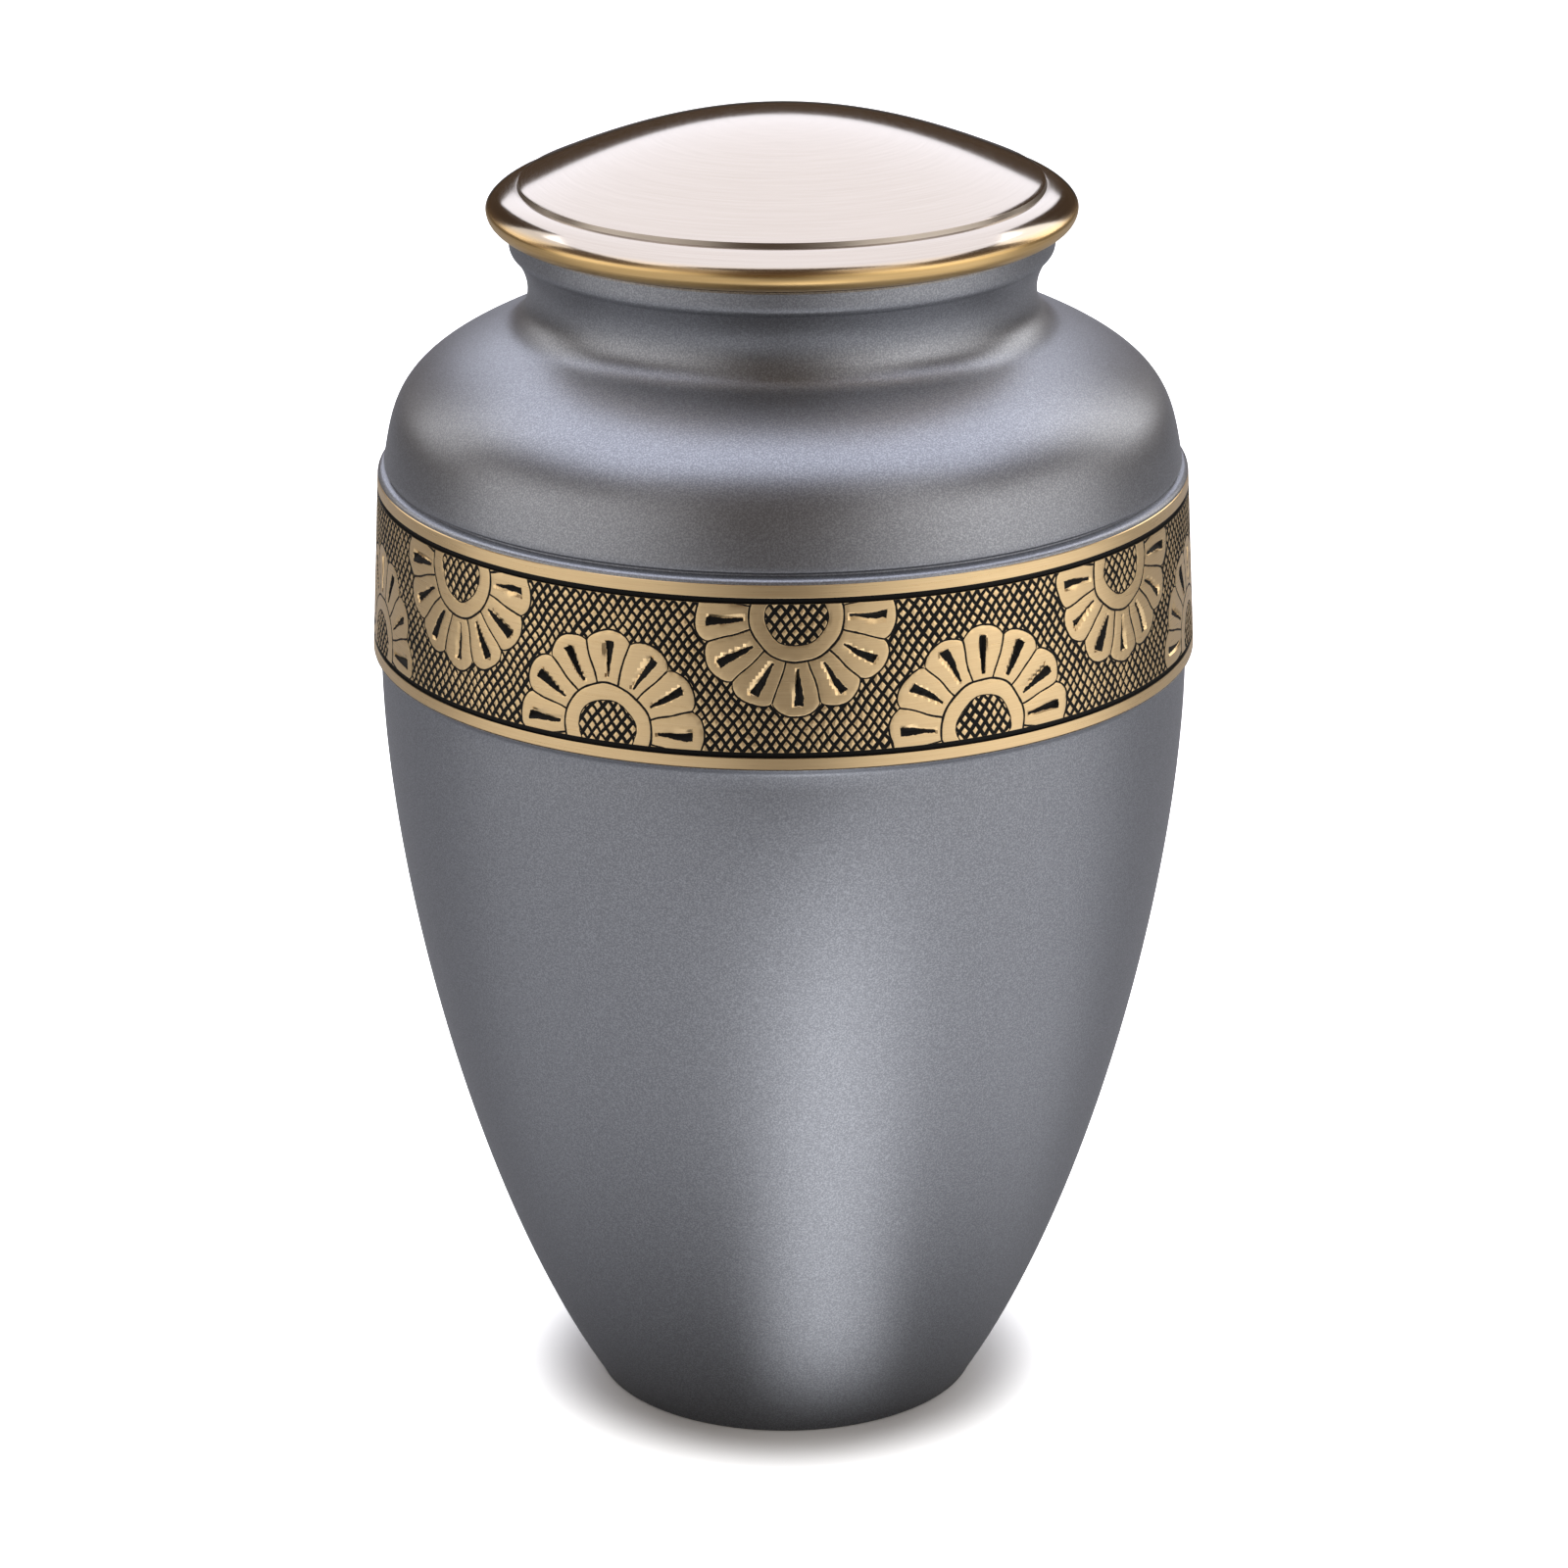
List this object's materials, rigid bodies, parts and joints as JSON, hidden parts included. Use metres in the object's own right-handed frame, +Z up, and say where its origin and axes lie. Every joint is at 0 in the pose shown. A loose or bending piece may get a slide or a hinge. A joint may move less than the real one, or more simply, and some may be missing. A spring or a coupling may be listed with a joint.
{
  "type": "cremation urn",
  "caption": "Tapering cast brass urn with a painted body, an engraved band of half daisies under the shoulder and a domed brushed lid that lifts out of its mouth.",
  "frame": {"origin": "centre of the flat underside, on the surface that the urn stands on", "axes": "+Z up along the axis of the vessel, -Y towards the front, where a hanging daisy is centred"},
  "size_m": [0.1608, 0.1612, 0.26],
  "materials": {
    "pewter_paint": "satin blue-grey metallic paint",
    "brushed_brass": "finely turned and brushed, engraving filled black"
  },
  "bodies": {
    "root": {"urn_body": "pewter_paint", "lid": "brushed_brass"}
  },
  "joints": []
}
